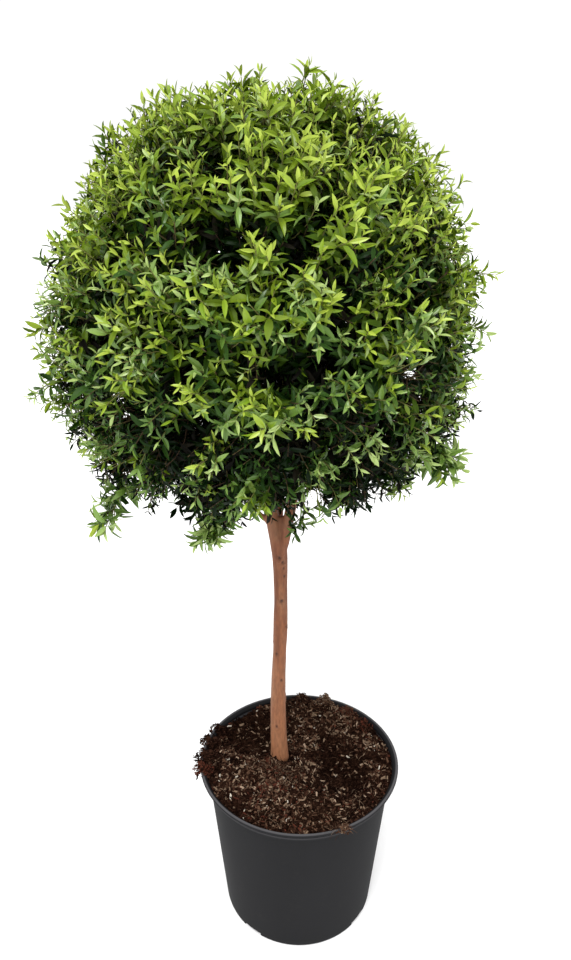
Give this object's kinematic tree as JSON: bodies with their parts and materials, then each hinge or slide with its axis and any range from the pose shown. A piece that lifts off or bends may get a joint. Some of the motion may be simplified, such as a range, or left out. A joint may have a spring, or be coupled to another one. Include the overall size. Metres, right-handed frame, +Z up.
{
  "type": "standard lollipop topiary",
  "caption": "Evergreen shrub with narrow glossy leaves, clipped to a ball on a clear reddish stem, growing in a round tapered pot with a collar rim.",
  "frame": {"origin": "centre of the pot's flat underside", "axes": "+Z up along the pot's axis; -Y is the front; +X is to the right seen from the front"},
  "size_m": [0.4562, 0.4506, 1.0244],
  "materials": {
    "pot_plastic": "satin",
    "potting_mix": "matte",
    "bark": "matte",
    "foliage": "satin"
  },
  "bodies": {
    "root": {"pot": "pot_plastic", "soil": "potting_mix", "trunk": "bark", "leader_bough": "bark", "right_bough": "bark", "back_bough": "bark", "left_bough": "bark", "left_spur": "bark", "crown": "foliage", "top_shoot": "foliage", "top_right_shoot": "foliage", "right_upper_shoot": "foliage", "right_shoot": "foliage", "right_lower_shoot": "foliage", "right_hanging_spray": "foliage", "left_shoot": "foliage", "left_lower_shoot": "foliage", "left_hanging_spray": "foliage", "front_hanging_spray": "foliage", "back_top_shoot": "foliage", "back_left_shoot": "foliage", "back_right_shoot": "foliage", "back_hanging_spray": "foliage"}
  },
  "joints": []
}
